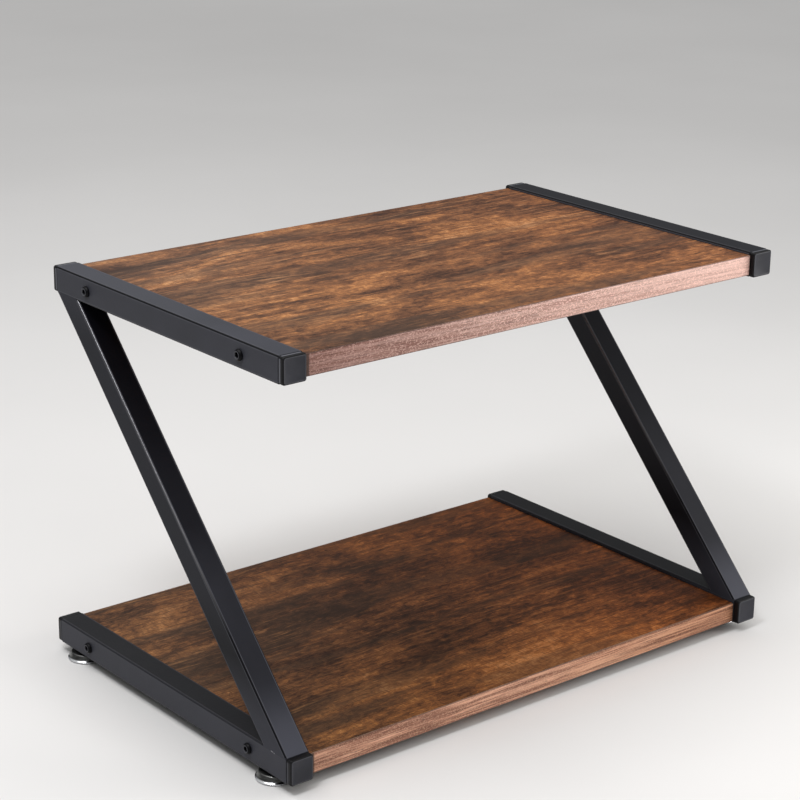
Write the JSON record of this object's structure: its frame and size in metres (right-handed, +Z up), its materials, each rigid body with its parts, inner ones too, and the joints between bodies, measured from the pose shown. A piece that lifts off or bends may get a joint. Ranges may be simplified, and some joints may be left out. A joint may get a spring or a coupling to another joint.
{
  "type": "two-tier desktop printer stand",
  "caption": "Two-tier printer stand: Z-shaped square-tube steel side frames carrying an upper and a lower wood-look shelf, on chrome levelling feet.",
  "frame": {"origin": "on the floor, at the centre of the whole stand's footprint", "axes": "+X across the stand to the right, -Y towards the front that the printer is used from, +Z up"},
  "size_m": [0.602, 0.387, 0.398],
  "materials": {
    "powder_coated_steel": "satin black powder coat",
    "cap_plastic": "fine-grained black moulding",
    "wood_laminate": "satin rustic brown wood-grain laminate",
    "edge_band": "satin wood-grain tape",
    "black_oxide_steel": "black oxide",
    "zinc_plated_steel": "bright zinc plate",
    "chrome_steel": "polished chrome plate",
    "rubber": "moulded rubber"
  },
  "bodies": {
    "frame": {"left_top_rail": "powder_coated_steel", "left_top_front_cap": "cap_plastic", "left_top_front_bolt": "black_oxide_steel", "left_top_front_insert": "zinc_plated_steel", "left_top_rear_cap": "cap_plastic", "left_top_rear_bolt": "black_oxide_steel", "left_top_rear_insert": "zinc_plated_steel", "left_bottom_rail": "powder_coated_steel", "left_bottom_front_cap": "cap_plastic", "left_bottom_front_bolt": "black_oxide_steel", "left_bottom_front_insert": "zinc_plated_steel", "left_bottom_rear_cap": "cap_plastic", "left_bottom_rear_bolt": "black_oxide_steel", "left_bottom_rear_insert": "zinc_plated_steel", "left_diagonal_leg": "powder_coated_steel", "right_top_rail": "powder_coated_steel", "right_top_front_cap": "cap_plastic", "right_top_front_bolt": "black_oxide_steel", "right_top_front_insert": "zinc_plated_steel", "right_top_rear_cap": "cap_plastic", "right_top_rear_bolt": "black_oxide_steel", "right_top_rear_insert": "zinc_plated_steel", "right_bottom_rail": "powder_coated_steel", "right_bottom_front_cap": "cap_plastic", "right_bottom_front_bolt": "black_oxide_steel", "right_bottom_front_insert": "zinc_plated_steel", "right_bottom_rear_cap": "cap_plastic", "right_bottom_rear_bolt": "black_oxide_steel", "right_bottom_rear_insert": "zinc_plated_steel", "right_diagonal_leg": "powder_coated_steel", "upper_shelf_board": "wood_laminate", "upper_shelf_front_band": "edge_band", "upper_shelf_rear_band": "edge_band", "lower_shelf_board": "wood_laminate", "lower_shelf_front_band": "edge_band", "lower_shelf_rear_band": "edge_band", "front_left_foot_nut": "zinc_plated_steel", "front_right_foot_nut": "zinc_plated_steel", "rear_left_foot_nut": "zinc_plated_steel", "rear_right_foot_nut": "zinc_plated_steel"},
    "front_left_foot": {"front_left_foot_cup": "chrome_steel", "front_left_foot_pad": "rubber"},
    "front_left_stud": {"front_left_foot_stud": "zinc_plated_steel"},
    "front_right_foot": {"front_right_foot_cup": "chrome_steel", "front_right_foot_pad": "rubber"},
    "front_right_stud": {"front_right_foot_stud": "zinc_plated_steel"},
    "rear_left_foot": {"rear_left_foot_cup": "chrome_steel", "rear_left_foot_pad": "rubber"},
    "rear_left_stud": {"rear_left_foot_stud": "zinc_plated_steel"},
    "rear_right_foot": {"rear_right_foot_cup": "chrome_steel", "rear_right_foot_pad": "rubber"},
    "rear_right_stud": {"rear_right_foot_stud": "zinc_plated_steel"}
  },
  "joints": [
    {"name": "front_left_foot_height", "type": "slide", "parent": "frame", "child": "front_left_foot", "axis": [0, 0, -1], "range_m": [-0.0006, 0.01]},
    {"name": "front_left_foot_turn", "type": "hinge", "parent": "front_left_foot", "child": "front_left_stud", "pos_m": [-0.2825, -0.154, 0], "axis": [0, 0, -1], "range_deg": [-173, 2881]},
    {"name": "front_right_foot_height", "type": "slide", "parent": "frame", "child": "front_right_foot", "axis": [0, 0, -1], "range_m": [-0.0006, 0.01]},
    {"name": "front_right_foot_turn", "type": "hinge", "parent": "front_right_foot", "child": "front_right_stud", "pos_m": [0.2825, -0.154, 0], "axis": [0, 0, -1], "range_deg": [-173, 2881]},
    {"name": "rear_left_foot_height", "type": "slide", "parent": "frame", "child": "rear_left_foot", "axis": [0, 0, -1], "range_m": [-0.0006, 0.01]},
    {"name": "rear_left_foot_turn", "type": "hinge", "parent": "rear_left_foot", "child": "rear_left_stud", "pos_m": [-0.2825, 0.161, 0], "axis": [0, 0, -1], "range_deg": [-173, 2881]},
    {"name": "rear_right_foot_height", "type": "slide", "parent": "frame", "child": "rear_right_foot", "axis": [0, 0, -1], "range_m": [-0.0006, 0.01]},
    {"name": "rear_right_foot_turn", "type": "hinge", "parent": "rear_right_foot", "child": "rear_right_stud", "pos_m": [0.2825, 0.161, 0], "axis": [0, 0, -1], "range_deg": [-173, 2881]}
  ],
  "couplings": [
    {"joint": "front_left_foot_turn", "follows": "front_left_foot_height", "rad_per_m": 5026.5},
    {"joint": "front_right_foot_turn", "follows": "front_right_foot_height", "rad_per_m": 5026.5},
    {"joint": "rear_left_foot_turn", "follows": "rear_left_foot_height", "rad_per_m": 5026.5},
    {"joint": "rear_right_foot_turn", "follows": "rear_right_foot_height", "rad_per_m": 5026.5}
  ]
}
